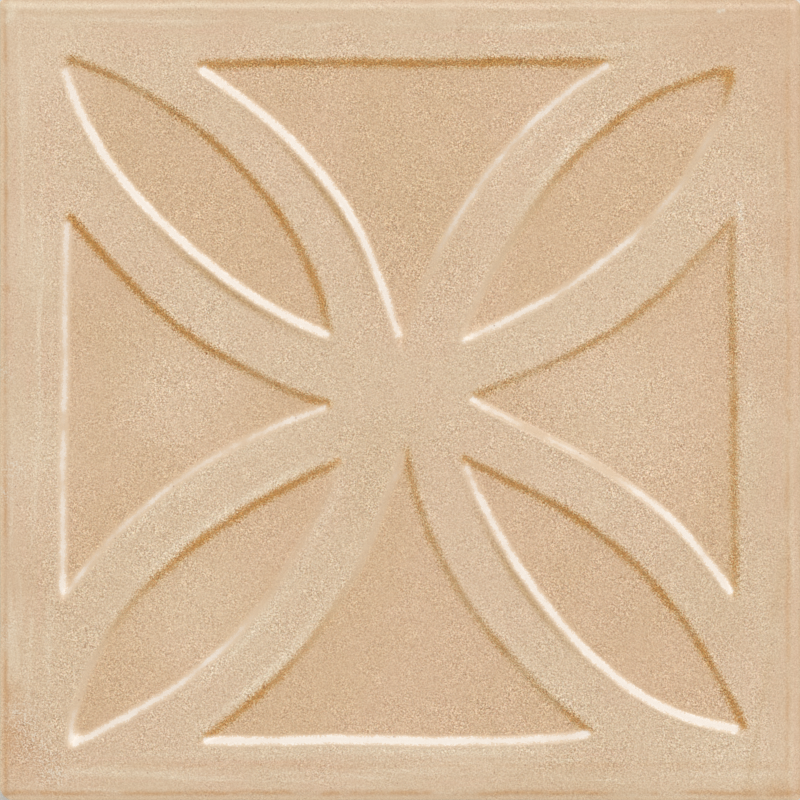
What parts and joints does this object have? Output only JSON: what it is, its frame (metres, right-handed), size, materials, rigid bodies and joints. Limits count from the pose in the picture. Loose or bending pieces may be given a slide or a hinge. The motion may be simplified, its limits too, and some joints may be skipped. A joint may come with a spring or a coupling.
{
  "type": "relief tile",
  "caption": "Square glazed wall tile with a pressed relief: leaf panels in the corners and fan panels between them, sunk inside a raised frame, over a plain flat back.",
  "frame": {"origin": "centre of the plain back face, which is also the middle of the underside as the tile lies face up", "axes": "+Z out of the glazed relief face, +X to the right and +Y upwards as the face is looked at on a wall"},
  "size_m": [0.15, 0.15, 0.01],
  "materials": {
    "glazed_body": "satin"
  },
  "bodies": {
    "root": {"relief_tile": "glazed_body"}
  },
  "joints": []
}
